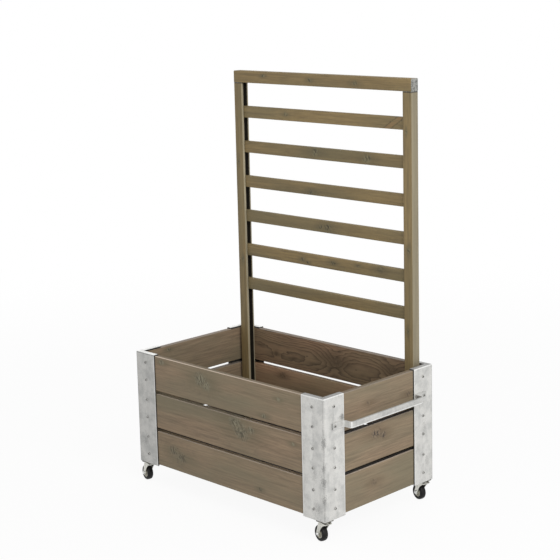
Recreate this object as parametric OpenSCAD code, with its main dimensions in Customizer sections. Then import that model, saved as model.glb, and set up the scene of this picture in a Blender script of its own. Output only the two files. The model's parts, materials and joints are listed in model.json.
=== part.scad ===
// Rolling planter: a box of three rows of boards on four small swivel casters,
// gripped at its corners by folded steel, with a slatted trellis standing in
// its two rear corners and a strap handle on its right end.
// The origin is on the ground, under the middle of the box. X runs along the
// front from left to right, Y runs to the back and Z runs up.

/* [Box] */
// Length over the outer faces of the boards
box_length = 845; // [700:5:1100]
// Depth over the outer faces of the boards
box_depth = 500; // [400:5:700]
// Height of one board
board_h = 116; // [100:1:140]
// Thickness of the boards
board_t = 20; // [18:0.5:26]
// Open gap between two boards
board_gap = 12; // [6:0.5:16]
// Radius of the eased long edges of the timber
arris = 2; // [1:0.25:3]

/* [Floor] */
// Depth of the two bearers that carry the floor
bearer_d = 22; // [18:1:30]
// Height of the bearers
bearer_h = 28; // [22:1:40]
// Air between a bearer's end and the end boards
bearer_end_gap = 0.5; // [0.3:0.1:0.9]
// Width of one floor slat
floor_slat_w = 118; // [80:1:120]
// Thickness of the floor slats
floor_slat_t = 18; // [14:1:24]
// Air between a floor slat's end and the long boards
floor_end_gap = 2; // [0.5:0.5:6]

/* [Corner steel] */
// Thickness of the folded sheet
steel_t = 2.5; // [2:0.25:4]
// Width of each leg, from the outer corner
leg_w = 90; // [84:1:120]
// Depth of the top flanges, from the outer face of the steel
flange_d = 18; // [12:1:24]
// Height of the boards above the underside of the foot
board_lift = 6; // [5.5:0.25:12]
// Air between the top boards and the flanges over them
flange_gap = 1; // [0.3:0.1:3]
// Side of the square foot plate
foot_w = 84; // [66:1:110]
// Length cut off the foot plate's inner corner, along each side
foot_cut = 36; // [10:1:36]
// Width of the slit where the two top flanges meet
mitre_slit = 0.8; // [0.4:0.1:2]

/* [Corner screws] */
// Distance of the screws from the outer corner of the steel
screw_in = 46; // [40:1:52]
// Distance of the screws from a board's upper and lower edge
screw_edge = 28; // [20:1:36]
// Radius of the screw shanks
screw_r = 2.1; // [1.5:0.1:3]
// Length of the screws under the head
screw_l = 21; // [15:0.5:22]
// Length of the rear screws that reach on into the trellis posts
post_screw_l = 38; // [30:0.5:42]
// Radius of the screw heads
screw_head_r = 4.6; // [3.6:0.1:5.5]
// Height of the screw heads
screw_head_h = 2; // [1.4:0.1:3]

/* [Handle] */
// Height of the strap
strap_w = 20; // [14:1:30]
// Thickness of the strap
strap_t = 4; // [3:0.5:6]
// How far the bar stands out from the steel, to its outer face
handle_reach = 34; // [28:1:60]
// Inner radius of the strap's bends
strap_bend = 6; // [3:0.5:8]
// Distance of the handle's arms from the outer corners of the steel
arm_in = 84; // [72:1:110]
// Length of the tab beyond its screw
tab_over = 10; // [7:1:16]

/* [Trellis] */
// Width of the posts
post_w = 36; // [30:1:45]
// Depth of the posts
post_d = 32; // [28:1:40]
// Length of the posts
post_l = 1190; // [1150:5:1400]
// Air between the posts and the end boards
post_end_gap = 10; // [4:0.5:14]
// Thickness of the wood in front of the groove
post_lip = 9; // [6:0.5:10]
// Depth of the groove that takes the slats
groove_d = 15; // [10:0.5:16]
// Play of the slats across the groove, on each side
slat_play = 0.4; // [0.2:0.1:0.8]
// Play of the slats at the bottom of the groove
slat_end_gap = 0.6; // [0.3:0.1:0.9]
// Height of the trellis slats
slat_h = 40; // [30:1:50]
// Thickness of the trellis slats
slat_t = 16; // [12:0.5:17]
// Open height between the slats
slat_gap = 80; // [60:1:85]
// Height of the top rail
rail_h = 40; // [30:1:60]

/* [Wood screws] */
// Shank radius of the countersunk screws
csk_r = 1.75; // [1.25:0.25:2.25]
// Head radius of the countersunk screws
csk_head_r = 3.75; // [3:0.25:4]
// Length of the screws that hold the bearers to the boards
bearer_screw_l = 34; // [26:1:36]
// Length of the screws that hold the floor slats to the bearers
floor_screw_l = 36; // [26:1:38]
// Length of the screws that hold the rail to the posts
rail_screw_l = 80; // [66:1:100]
// Length of the screws that hold the trellis slats in the groove
slat_screw_l = 17; // [12:1:18]
// Play round every screw in its hole
screw_play = 0.1; // [0.05:0.05:0.3]

/* [Casters] */
// Height of a caster, from the ground to the top of its plate
caster_h = 72; // [70:1:90]
// Side of the square top plate
plate_w = 40; // [38:1:46]
// Thickness of the top plate
plate_t = 2.5; // [2:0.25:3.5]
// Corner radius of the top plate
plate_r = 4; // [2:0.5:6]
// Distance of the swivel axis from the outer faces of the steel
caster_inset = 22; // [21:0.5:27]
// Distance between the rivets, along each side of the plate
rivet_pitch = 30; // [29:0.5:31]
// Radius of the rivet shanks
rivet_r = 2.5; // [2:0.25:3]
// Width of a rivet head's rim round the shank
rivet_rim = 1.8; // [1:0.1:1.8]
// Height of the rivet heads
rivet_head_h = 2.6; // [1.5:0.1:2.8]
// Wheel diameter over the tyre
wheel_d = 50; // [44:1:54]
// Width of the tyre
tyre_w = 20; // [16:1:22]
// Radius of the tyre's seat on the hub
hub_r = 15; // [12:0.5:17]
// Horizontal distance from the swivel axis to the wheel axle
trail = 20; // [14:1:22]
// Compass angle of the trail at rest, from +X towards +Y
caster_turn = 167; // [0:1:359]
// Thickness of the fork's sheet
fork_t = 2; // [1.5:0.25:2.5]
// Air between the tyre and each cheek of the fork
cheek_gap = 1.5; // [1:0.25:2.5]
// Radius of the wheel axle
axle_r = 3; // [2.5:0.25:4]
// Radius of the kingpin
kingpin_r = 4; // [3:0.25:4.5]
// Radial clearance of the running fits on axle and kingpin
running_fit = 0.05; // [0.02:0.01:0.1]
// Radius of the balls in the swivel bearing
ball_r = 1.6; // [1.2:0.1:1.8]
// Radius of the ring of balls
ball_ring_r = 10.5; // [9.5:0.25:11]
// Number of balls in each swivel bearing
ball_count = 14; // [8:1:16]

/* [Hidden] */
$fn = 48;
eps = 0.01;
// How far a cut runs past the face that it opens
past = 1;
ROWS = ["low", "mid", "top"];
SIDES = ["front", "rear", "left", "right"];
// Each corner: its name, and its side of the box along X and along Y
CORNERS = [["front_left", -1, -1], ["front_right", 1, -1], ["rear_left", -1, 1], ["rear_right", 1, 1]];
HANDS = [["left", -1], ["right", 1]];
floor_slats = 6;
trellis_slats = 6;

// Heights above the ground
steel_z = caster_h;
board_z0 = steel_z + board_lift;
board_pitch = board_h + board_gap;
boards_top = board_z0 + 3 * board_h + 2 * board_gap;
steel_h = boards_top + flange_gap + steel_t - steel_z;
floor_top = board_z0 + bearer_h + floor_slat_t;
post_top = floor_top + post_l;
axle_z = wheel_d / 2;

// Inside of the box
inner_l = box_length - 2 * board_t;
inner_d = box_depth - 2 * board_t;
bearer_y = inner_d / 2 - bearer_d / 2;
floor_pitch = inner_l / floor_slats;

// Trellis
post_x = inner_l / 2 - post_end_gap - post_w / 2;
post_y = inner_d / 2 - post_d / 2;
groove_w = slat_t + 2 * slat_play;
groove_y = post_y - post_d / 2 + post_lip + groove_w / 2;
slat_l = 2 * (post_x - post_w / 2 + groove_d - slat_end_gap);
slat_pitch = slat_h + slat_gap;
rail_screw_in = (post_w - groove_d) / 2;

// Caster: the swivel bearing, from the plate down
race_h = 3.2;
race_gap = 0.8;
race_rim = 3;
race_top = steel_z - plate_t - race_h;
ball_z = race_top - race_gap / 2;
groove_play = 0.15;
crown_top = race_top - race_gap;
crown_t = 5;
crown_z = crown_top - crown_t;
pin_gap = 0.3;
pin_head_h = 2.4;
pin_head_r = kingpin_r + 2.5;

// Caster: the fork and the wheel
cheek_y = tyre_w / 2 + cheek_gap;
fork_y = cheek_y + fork_t;
boss_r = axle_r + 4.5;
bolt_head_h = 3.4;
bolt_head_r = axle_r + 2.4;
bolt_tip = 1.5;
hub_w = tyre_w + 1;

// Steel and timber colours
stained_wood = "#82765f";
olive_wood = "#776a49";
galvanised = "#c6c8c4";
zinc = "#b4b4ae";

// A bar along X with eased long edges, d deep and h high
module timber(length, d, h) {
    rotate([90, 0, 90])
        linear_extrude(length, center = true)
            eased_rect(d, h, arris);
}

// A rectangle with round corners
module eased_rect(a, b, r) {
    square([a - 2 * r, b], center = true);
    square([a, b - 2 * r], center = true);
    for (x = [-1, 1], y = [-1, 1])
        translate([x * (a / 2 - r), y * (b / 2 - r)])
            circle(r);
}

// Puts a piece drawn from the outer corner of the steel, with its legs along
// +X and +Y, at a corner of the box
module at_corner(c) {
    translate([c[1] * (box_length / 2 + steel_t), c[2] * (box_depth / 2 + steel_t), 0])
        mirror([c[1] > 0 ? 1 : 0, 0, 0])
            mirror([0, c[2] > 0 ? 1 : 0, 0])
                children();
}

// Height of a corner screw on row i, at its lower (0) or upper (1) edge
function screw_z(i, upper) =
    board_z0 + i * board_pitch + (upper == 1 ? board_h - screw_edge : screw_edge);

// True for the handle's screws: lower screws of the top row on the right end
function holds_handle(c, leg, i, upper) = c[1] > 0 && leg == 1 && i == 2 && upper == 0;

// True for the screws on the rear face that meet a trellis post
function holds_post(c, leg, i, upper) =
    c[2] > 0 && leg == 0 && screw_z(i, upper) > floor_top + screw_edge / 2;

// Puts its children on the outer face of the steel at one screw, with +Z
// pointing out of the box. Leg 0 is on the long side, leg 1 on the end.
module at_screw(c, leg, i, upper) {
    at_corner(c)
        if (leg == 0)
            translate([screw_in, 0, screw_z(i, upper)])
                rotate([90, 0, 0])
                    children();
        else
            translate([0, screw_in, screw_z(i, upper)])
                rotate([0, -90, 0])
                    children();
}

// Puts its children at every screw of one corner
module at_corner_screws(c) {
    for (leg = [0, 1], i = [0:2], upper = [0, 1])
        at_screw(c, leg, i, upper)
            children();
}

// A hole for a corner screw, in everything that it passes
module screw_hole(length) {
    translate([0, 0, -length])
        cylinder(h = length + strap_t + past, r = screw_r + screw_play);
}

// A low conical head with a six-sided socket, on a plain shank
module face_screw(length) {
    socket_r = screw_head_r * 0.4;
    socket_z = screw_head_h * 0.3;
    top_r = screw_head_r * 0.62;
    difference() {
        union() {
            cylinder(h = screw_head_h, r1 = screw_head_r, r2 = top_r);
            translate([0, 0, -length])
                cylinder(h = length, r = screw_r);
        }
        translate([0, 0, socket_z])
            cylinder(h = screw_head_h, r = socket_r, $fn = 6);
    }
}

// A countersunk screw whose head is flush with z = 0, pointing down
module csk_screw(length) {
    head_h = csk_head_r - csk_r;
    socket_r = csk_r * 0.8;
    socket_depth = head_h * 0.6;
    difference() {
        union() {
            translate([0, 0, -head_h])
                cylinder(h = head_h, r1 = csk_r, r2 = csk_head_r);
            translate([0, 0, -length])
                cylinder(h = length - head_h + eps, r = csk_r);
        }
        translate([0, 0, -socket_depth])
            cylinder(h = head_h, r = socket_r, $fn = 6);
    }
}

// The hole of a countersunk screw
module csk_hole(length) {
    head_h = csk_head_r - csk_r;
    translate([0, 0, -head_h])
        cylinder(h = head_h, r1 = csk_r + screw_play, r2 = csk_head_r + screw_play);
    translate([0, 0, -length - screw_play])
        cylinder(h = length + screw_play, r = csk_r + screw_play);
    cylinder(h = past, r = csk_head_r + screw_play);
}

// ---- Box ----

// One board of a side, on row i, drilled for its corner screws
module side_board(side, i) {
    long = side == "front" || side == "rear";
    back = side == "rear" || side == "right" ? 1 : -1;
    z = board_z0 + i * board_pitch + board_h / 2;
    color(stained_wood)
        difference() {
            if (long)
                translate([0, back * (box_depth - board_t) / 2, z])
                    timber(box_length, board_t, board_h);
            else
                translate([back * (box_length - board_t) / 2, 0, z])
                    rotate([0, 0, 90])
                        timber(inner_d, board_t, board_h);
            for (c = CORNERS, upper = [0, 1])
                if ((long ? c[2] : c[1]) == back)
                    at_screw(c, long ? 0 : 1, i, upper)
                        screw_hole(steel_t + board_t + past);
            if (long && i == 0)
                at_bearer_screws(back)
                    csk_hole(bearer_screw_l);
        }
}

// Puts its children on the inner face of a bearer, between the floor slats
module at_bearer_screws(back) {
    for (k = [1, 2, floor_slats - 2, floor_slats - 1])
        translate([-inner_l / 2 + k * floor_pitch, back * (inner_d / 2 - bearer_d), board_z0 + bearer_h / 2])
            rotate([back * 90, 0, 0])
                children();
}

// Puts its children on the floor slats, over the bearer
module at_floor_screws(back, slats) {
    for (k = slats)
        translate([-inner_l / 2 + (k - 0.5) * floor_pitch, back * bearer_y, floor_top])
            children();
}

module bearer(back) {
    color(stained_wood)
        difference() {
            translate([0, back * bearer_y, board_z0 + bearer_h / 2])
                timber(inner_l - 2 * bearer_end_gap, bearer_d, bearer_h);
            at_bearer_screws(back)
                csk_hole(bearer_screw_l);
            at_floor_screws(back, [1:floor_slats])
                csk_hole(floor_screw_l);
        }
}

module floor_slat(k) {
    color(stained_wood)
        difference() {
            translate([-inner_l / 2 + (k - 0.5) * floor_pitch, 0, floor_top - floor_slat_t / 2])
                rotate([0, 0, 90])
                    timber(inner_d - 2 * floor_end_gap, floor_slat_w, floor_slat_t);
            for (back = [-1, 1])
                at_floor_screws(back, [k])
                    csk_hole(floor_screw_l);
        }
}

module floor_screws() {
    color(zinc)
        for (back = [-1, 1]) {
            at_bearer_screws(back)
                csk_screw(bearer_screw_l);
            at_floor_screws(back, [1:floor_slats])
                csk_screw(floor_screw_l);
        }
}

// ---- Corner steel ----

// A quarter of a disc, in the quarter towards -X and -Y
module quarter_disc(r) {
    intersection() {
        circle(r);
        translate([-r, -r])
            square(r);
    }
}

// Section of one leg: X runs into the box and Y up. Both folds are round outside.
module leg_section() {
    translate([0, steel_t])
        square([steel_t, steel_h - 2 * steel_t]);
    translate([steel_t, steel_h - steel_t])
        square([flange_d - steel_t, steel_t]);
    translate([steel_t, 0])
        square([steel_t, steel_t]);
    translate([steel_t, steel_t])
        quarter_disc(steel_t);
    translate([steel_t, steel_h - steel_t])
        mirror([0, 1])
            quarter_disc(steel_t);
}

// One leg with its top flange, running along +X from the corner
module bracket_leg() {
    translate([steel_t, 0, 0])
        rotate([90, 0, 90])
            linear_extrude(leg_w - steel_t)
                leg_section();
}

// An eighth of a ball, rounding the corner where three folds meet
module fold_corner() {
    intersection() {
        sphere(steel_t);
        translate([-steel_t, -steel_t, -steel_t])
            cube(steel_t);
    }
}

module foot_plate() {
    linear_extrude(steel_t)
        polygon([
            [steel_t, steel_t], [foot_w, steel_t], [foot_w, foot_w - foot_cut],
            [foot_w - foot_cut, foot_w], [steel_t, foot_w]
        ]);
}

module corner_bracket(c) {
    color(galvanised)
        difference() {
            at_corner(c)
                translate([0, 0, steel_z])
                    difference() {
                        union() {
                            bracket_leg();
                            mirror([1, -1, 0])
                                bracket_leg();
                            translate([steel_t, steel_t, steel_t])
                                linear_extrude(steel_h - 2 * steel_t)
                                    quarter_disc(steel_t);
                            translate([steel_t, steel_t, steel_t])
                                fold_corner();
                            translate([steel_t, steel_t, steel_h - steel_t])
                                mirror([0, 0, 1])
                                    fold_corner();
                            foot_plate();
                        }
                        rotate([0, 0, 45])
                            translate([2 * steel_t, -mitre_slit / 2, steel_h - steel_t])
                                cube([2 * flange_d, mitre_slit, 2 * steel_t]);
                    }
            at_corner_screws(c)
                screw_hole(2 * steel_t);
            at_rivets(c)
                cylinder(h = 3 * steel_t, r = rivet_r + screw_play, center = true);
        }
}

module corner_screws() {
    color(zinc)
        for (c = CORNERS, leg = [0, 1], i = [0:2], upper = [0, 1])
            at_screw(c, leg, i, upper)
                if (holds_handle(c, leg, i, upper))
                    translate([0, 0, strap_t])
                        face_screw(screw_l + strap_t);
                else
                    face_screw(holds_post(c, leg, i, upper) ? post_screw_l : screw_l);
}

// ---- Handle ----

// A quarter ring of the strap, in the quarter towards -X and -Y
module strap_quarter() {
    intersection() {
        difference() {
            circle(strap_bend + strap_t);
            circle(strap_bend);
        }
        translate([-strap_bend - strap_t, -strap_bend - strap_t])
            square(strap_bend + strap_t);
    }
}

// Half of the handle seen from above: X out of the box, Y from its middle
module half_strap() {
    corner_y = box_depth / 2 + steel_t;
    tab_end = corner_y - screw_in + tab_over;
    arm_y = corner_y - arm_in;
    foot_y = arm_y + strap_bend;
    bar_y = arm_y - strap_t - strap_bend;
    turn_x = handle_reach - strap_t - strap_bend;
    translate([0, foot_y])
        square([strap_t, tab_end - foot_y]);
    translate([strap_t + strap_bend, foot_y])
        strap_quarter();
    translate([strap_t + strap_bend, arm_y - strap_t])
        square([turn_x - strap_t - strap_bend, strap_t]);
    translate([turn_x, bar_y])
        rotate(180)
            strap_quarter();
    translate([handle_reach - strap_t, 0])
        square([strap_t, bar_y]);
}

module handle() {
    color(galvanised)
        difference() {
            translate([box_length / 2 + steel_t, 0, screw_z(2, 0)])
                linear_extrude(strap_w, center = true) {
                    half_strap();
                    mirror([0, 1])
                        half_strap();
                }
            for (c = CORNERS)
                if (c[1] > 0)
                    at_screw(c, 1, 2, 0)
                        screw_hole(past);
        }
}

// ---- Trellis ----

// Height of the middle of trellis slat k, counted from the top
function trellis_slat_z(k) = post_top - slat_gap - slat_h / 2 - (k - 1) * slat_pitch;

// Puts its children on the rear face of a post, behind the end of each slat
module at_slat_screws(hand, slats) {
    for (k = slats)
        translate([hand * (post_x - post_w / 2 + groove_d / 2), post_y + post_d / 2, trellis_slat_z(k)])
            rotate([-90, 0, 0])
                children();
}

// Puts its children on top of the rail, over the solid side of a post
module at_rail_screw(hand) {
    translate([hand * (post_x + post_w / 2 - rail_screw_in), post_y, post_top + rail_h])
        children();
}

module trellis_post(hand) {
    color(olive_wood)
        difference() {
            translate([hand * post_x, post_y, floor_top + post_l / 2])
                rotate([0, -90, 0])
                    timber(post_l, post_d, post_w);
            translate([hand * (post_x - post_w / 2), groove_y, floor_top + post_l / 2])
                cube([2 * groove_d, groove_w, post_l + 2 * past], center = true);
            at_slat_screws(hand, [1:trellis_slats])
                csk_hole(slat_screw_l);
            at_rail_screw(hand)
                csk_hole(rail_screw_l);
            for (c = CORNERS, i = [0:2], upper = [0, 1])
                if (c[1] == hand && holds_post(c, 0, i, upper))
                    at_screw(c, 0, i, upper)
                        screw_hole(post_screw_l + past);
        }
}

module trellis_top_rail() {
    color(olive_wood)
        difference() {
            translate([0, post_y, post_top + rail_h / 2])
                timber(2 * post_x + post_w, post_d, rail_h);
            for (h = HANDS)
                at_rail_screw(h[1])
                    csk_hole(rail_screw_l);
        }
}

module trellis_slat(k) {
    color(olive_wood)
        difference() {
            translate([0, groove_y, trellis_slat_z(k)])
                timber(slat_l, slat_t, slat_h);
            for (h = HANDS)
                at_slat_screws(h[1], [k])
                    csk_hole(slat_screw_l);
        }
}

module trellis_screws() {
    color(zinc)
        for (h = HANDS) {
            at_slat_screws(h[1], [1:trellis_slats])
                csk_screw(slat_screw_l);
            at_rail_screw(h[1])
                csk_screw(rail_screw_l);
        }
}

// ---- Casters ----

// Puts its children on the ground under a caster's swivel axis
module at_swivel(c) {
    at_corner(c)
        translate([caster_inset, caster_inset, 0])
            children();
}

// The same, with +X along the trail. The turn is the same at every corner, so
// that the casters point one way.
module at_trail(c) {
    translate([
        c[1] * (box_length / 2 + steel_t - caster_inset),
        c[2] * (box_depth / 2 + steel_t - caster_inset),
        0
    ])
        rotate([0, 0, caster_turn])
            children();
}

// Puts its children at the four rivets, level with the underside of the foot
module at_rivets(c) {
    at_swivel(c)
        for (x = [-1, 1], y = [-1, 1])
            translate([x * rivet_pitch / 2, y * rivet_pitch / 2, steel_z])
                children();
}

// Ring that the balls run in, cut into both races
module ball_groove() {
    translate([0, 0, ball_z])
        rotate_extrude()
            translate([ball_ring_r, 0])
                circle(ball_r + groove_play);
}

module caster_plate(c) {
    color(zinc)
        difference() {
            at_swivel(c) {
                translate([0, 0, steel_z - plate_t])
                    linear_extrude(plate_t)
                        eased_rect(plate_w, plate_w, plate_r);
                translate([0, 0, race_top])
                    cylinder(h = race_h, r = ball_ring_r + race_rim);
            }
            at_swivel(c) {
                translate([0, 0, race_top - past])
                    cylinder(h = caster_h, r = kingpin_r + running_fit);
                ball_groove();
            }
            at_rivets(c)
                cylinder(h = 4 * plate_t, r = rivet_r + screw_play, center = true);
        }
}

module caster_rivets() {
    color(zinc)
        for (c = CORNERS)
            at_rivets(c)
                rivet();
}

// A rivet through foot and plate, with a low head on each side
module rivet() {
    head_r = rivet_r + rivet_rim;
    translate([0, 0, -plate_t])
        cylinder(h = plate_t + steel_t, r = rivet_r);
    translate([0, 0, steel_t])
        cylinder(h = rivet_head_h, r1 = head_r, r2 = head_r * 0.6);
    translate([0, 0, -plate_t - rivet_head_h])
        cylinder(h = rivet_head_h, r1 = head_r * 0.6, r2 = head_r);
}

module caster_kingpins() {
    color(zinc)
        for (c = CORNERS)
            at_swivel(c) {
                translate([0, 0, crown_z - pin_gap - pin_head_h])
                    cylinder(h = pin_head_h, r1 = pin_head_r - pin_head_h / 2, r2 = pin_head_r);
                translate([0, 0, crown_z - pin_gap - eps])
                    cylinder(h = steel_z - crown_z + pin_gap, r = kingpin_r);
            }
}

module swivel_balls() {
    color("silver")
        for (c = CORNERS, k = [0:ball_count - 1])
            at_swivel(c)
                rotate([0, 0, k * 360 / ball_count])
                    translate([ball_ring_r, 0, ball_z])
                        sphere(ball_r);
}

// Outline of a cheek seen from the side: X along the trail, Y up. Its front
// edge runs in a shallow hollow from the nose to the boss of the axle.
module cheek_outline() {
    nose_r = 4;
    heel_r = 3;
    nose = [-14, crown_z + 1];
    heel = [13, crown_z + 2];
    edge_cut = 0.5;
    edge_top = nose - [nose_r - edge_cut, 0];
    edge_foot = [trail - boss_r - edge_cut, axle_z + nose_r - 1];
    hollow = 5;
    chord = edge_foot - edge_top;
    hollow_r = pow(norm(chord), 2) / (8 * hollow) + hollow / 2;
    out = [chord[1], -chord[0]] / norm(chord);
    difference() {
        hull() {
            translate([trail, axle_z])
                circle(boss_r, $fn = 32);
            translate(heel)
                circle(heel_r, $fn = 32);
            translate(nose)
                circle(nose_r, $fn = 32);
        }
        translate((edge_top + edge_foot) / 2 + (hollow_r - hollow) * out)
            circle(hollow_r, $fn = 96);
    }
}

module caster_fork(c) {
    crown_nose = 18;
    crown_heel = 16;
    crown_sheet = 3;
    crown_r = 5;
    color(zinc)
        at_trail(c)
            difference() {
                union() {
                    for (side = [-1, 1])
                        translate([0, side * (cheek_y + fork_t / 2), 0])
                            rotate([90, 0, 0])
                                linear_extrude(fork_t, center = true)
                                    cheek_outline();
                    translate([(crown_heel - crown_nose) / 2, 0, crown_z])
                        linear_extrude(crown_sheet)
                            eased_rect(crown_heel + crown_nose, 2 * fork_y, crown_r);
                    translate([0, 0, crown_z])
                        cylinder(h = crown_t, r = ball_ring_r + race_rim);
                }
                translate([0, 0, crown_z - crown_t])
                    cylinder(h = 3 * crown_t, r = kingpin_r + running_fit);
                ball_groove();
                translate([trail, 0, axle_z])
                    rotate([90, 0, 0])
                        cylinder(h = 3 * fork_y, r = axle_r + running_fit, center = true);
            }
}

// The axle bolt with its nut, each a separate solid
module caster_axle(c) {
    color("silver")
        at_trail(c)
            translate([trail, 0, axle_z])
                rotate([90, 0, 0]) {
                    translate([0, 0, -fork_y - bolt_head_h])
                        cylinder(h = bolt_head_h, r = bolt_head_r, $fn = 6);
                    translate([0, 0, -fork_y - eps])
                        cylinder(h = 2 * fork_y + bolt_head_h + bolt_tip, r = axle_r);
                    difference() {
                        translate([0, 0, fork_y])
                            cylinder(h = bolt_head_h, r = bolt_head_r, $fn = 6);
                        cylinder(h = 3 * fork_y, r = axle_r + running_fit);
                    }
                }
}

module wheel_hub(c) {
    rim_t = 3;
    rim_inset = 1.5;
    web_t = 7;
    bore_wall = 3;
    color("gray")
        at_trail(c)
            translate([trail, 0, axle_z])
                rotate([90, 0, 0])
                    difference() {
                        union() {
                            cylinder(h = web_t, r = hub_r - 1, center = true);
                            cylinder(h = hub_w, r = axle_r + bore_wall, center = true);
                            difference() {
                                cylinder(h = tyre_w - 2 * rim_inset, r = hub_r, center = true);
                                cylinder(h = tyre_w, r = hub_r - rim_t, center = true);
                            }
                        }
                        cylinder(h = 2 * hub_w, r = axle_r + running_fit, center = true);
                    }
}

module wheel_tyre(c) {
    shoulder = 5;
    tread_h = wheel_d / 2 - hub_r;
    color("#242424")
        at_trail(c)
            translate([trail, 0, axle_z])
                rotate([90, 0, 0])
                    rotate_extrude()
                        translate([hub_r + tread_h / 2, 0]) {
                            square([tread_h - 2 * shoulder + eps, tyre_w], center = true);
                            translate([-shoulder / 2, 0])
                                square([tread_h - shoulder, tyre_w], center = true);
                            square([tread_h, tyre_w - 2 * shoulder], center = true);
                            for (y = [-1, 1])
                                translate([tread_h / 2 - shoulder, y * (tyre_w / 2 - shoulder)])
                                    circle(shoulder);
                        }
}

for (side = SIDES, i = [0:2])
    side_board(side, i);
for (c = CORNERS)
    corner_bracket(c);
corner_screws();
handle();
bearer(-1);  // bearer_front
bearer(1);  // bearer_rear
for (k = [1:floor_slats])
    floor_slat(k);
floor_screws();
for (h = HANDS)
    trellis_post(h[1]);
trellis_top_rail();
for (k = [1:trellis_slats])
    trellis_slat(k);
trellis_screws();
for (c = CORNERS)
    caster_plate(c);
caster_rivets();
caster_kingpins();
swivel_balls();
for (c = CORNERS)
    caster_fork(c);
for (c = CORNERS)
    caster_axle(c);
for (c = CORNERS)
    wheel_hub(c);
for (c = CORNERS)
    wheel_tyre(c);
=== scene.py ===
import bmesh
import bpy
import json
import math
import random
from mathutils import Matrix, Vector

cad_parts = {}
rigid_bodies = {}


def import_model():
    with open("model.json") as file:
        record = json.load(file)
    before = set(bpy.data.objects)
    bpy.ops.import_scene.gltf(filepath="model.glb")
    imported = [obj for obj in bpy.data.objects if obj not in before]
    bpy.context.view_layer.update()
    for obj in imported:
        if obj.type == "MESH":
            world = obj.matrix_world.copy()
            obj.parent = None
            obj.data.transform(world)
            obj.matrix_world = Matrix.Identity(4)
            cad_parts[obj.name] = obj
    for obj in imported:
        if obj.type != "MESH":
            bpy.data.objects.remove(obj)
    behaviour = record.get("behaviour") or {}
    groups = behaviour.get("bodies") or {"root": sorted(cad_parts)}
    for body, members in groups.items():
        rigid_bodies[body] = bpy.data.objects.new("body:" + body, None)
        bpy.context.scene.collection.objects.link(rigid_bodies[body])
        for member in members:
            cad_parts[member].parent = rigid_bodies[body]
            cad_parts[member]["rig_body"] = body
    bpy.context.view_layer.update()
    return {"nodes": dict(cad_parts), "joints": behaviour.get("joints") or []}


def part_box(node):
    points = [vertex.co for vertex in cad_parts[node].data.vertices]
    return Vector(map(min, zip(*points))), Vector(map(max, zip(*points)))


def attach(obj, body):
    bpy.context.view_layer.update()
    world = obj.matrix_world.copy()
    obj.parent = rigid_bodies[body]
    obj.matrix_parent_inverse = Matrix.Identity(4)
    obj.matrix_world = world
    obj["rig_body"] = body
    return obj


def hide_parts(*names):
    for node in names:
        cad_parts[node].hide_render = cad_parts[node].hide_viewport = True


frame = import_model()
joints = {joint["name"]: joint for joint in frame["joints"]}
corners = ("front_left", "front_right", "rear_left", "rear_right")
mm = 0.001


# Camera, at the photo's viewpoint. The optical axis meets the photo above its middle.

cameraView = {
    "azimuth": 45.0,  # degrees round from the front
    "elevation": 10.25,
    "roll": -1.34,
    "place": (3.189, -3.177, 1.686),
    "focalPixels": 1434.2,
    "photoSize": 560,
    "axisRow": 230,  # row of the photo on the optical axis
    "sensor": 36.0,
}


def makeCamera(view):
    azimuth, elevation, roll = (math.radians(view[key]) for key in ("azimuth", "elevation", "roll"))
    back = Vector((
        math.sin(azimuth) * math.cos(elevation),
        -math.cos(azimuth) * math.cos(elevation),
        math.sin(elevation),
    ))
    right = Vector((math.cos(azimuth), math.sin(azimuth), 0))
    up = back.cross(right)
    rolledRight = right * math.cos(roll) + up * math.sin(roll)
    rolledUp = up * math.cos(roll) - right * math.sin(roll)
    data = bpy.data.cameras.new("photoCamera")
    data.sensor_width = view["sensor"]
    data.lens = view["focalPixels"] / view["photoSize"] * view["sensor"]
    data.shift_y = (view["axisRow"] - view["photoSize"] / 2) / view["photoSize"]
    camera = bpy.data.objects.new("photoCamera", data)
    turn = Matrix((rolledRight, rolledUp, back)).transposed()
    camera.matrix_world = Matrix.Translation(Vector(view["place"])) @ turn.to_4x4()
    bpy.context.scene.collection.objects.link(camera)
    bpy.context.scene.camera = camera


makeCamera(cameraView)
print("camera placed")


# Node graphs, for finishes and for geometry. A Wire is a socket that takes part in sums.

class Wire:
    def __init__(self, graph, socket):
        self.graph = graph
        self.socket = socket

    def maths(self, operation, first, second):
        return self.graph.node("ShaderNodeMath", {"operation": operation}, {0: first, 1: second})

    def __add__(self, other):
        return self.maths("ADD", self, other)

    def __radd__(self, other):
        return self.maths("ADD", other, self)

    def __sub__(self, other):
        return self.maths("SUBTRACT", self, other)

    def __rsub__(self, other):
        return self.maths("SUBTRACT", other, self)

    def __mul__(self, other):
        return self.maths("MULTIPLY", self, other)

    def __rmul__(self, other):
        return self.maths("MULTIPLY", other, self)

    def __truediv__(self, other):
        return self.maths("DIVIDE", self, other)

    def __rtruediv__(self, other):
        return self.maths("DIVIDE", other, self)

    def __pow__(self, other):
        return self.maths("POWER", self, other)


class Graph:
    def __init__(self, tree):
        self.tree = tree
        tree.nodes.clear()

    def node(self, kind, settings=None, inputs=None, output=0):
        made = self.tree.nodes.new(kind)
        for name, value in (settings or {}).items():
            setattr(made, name, value)
        for name, value in (inputs or {}).items():
            if isinstance(value, Wire):
                self.tree.links.new(value.socket, made.inputs[name])
            else:
                made.inputs[name].default_value = value
        return Wire(self, made.outputs[output]) if made.outputs else made


def paint(code):  # "#rrggbb" as a linear colour
    channels = [int(code[i:i + 2], 16) / 255 for i in (1, 3, 5)]
    linear = [c / 12.92 if c <= 0.04045 else ((c + 0.055) / 1.055) ** 2.4 for c in channels]
    return (*linear, 1)


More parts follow.
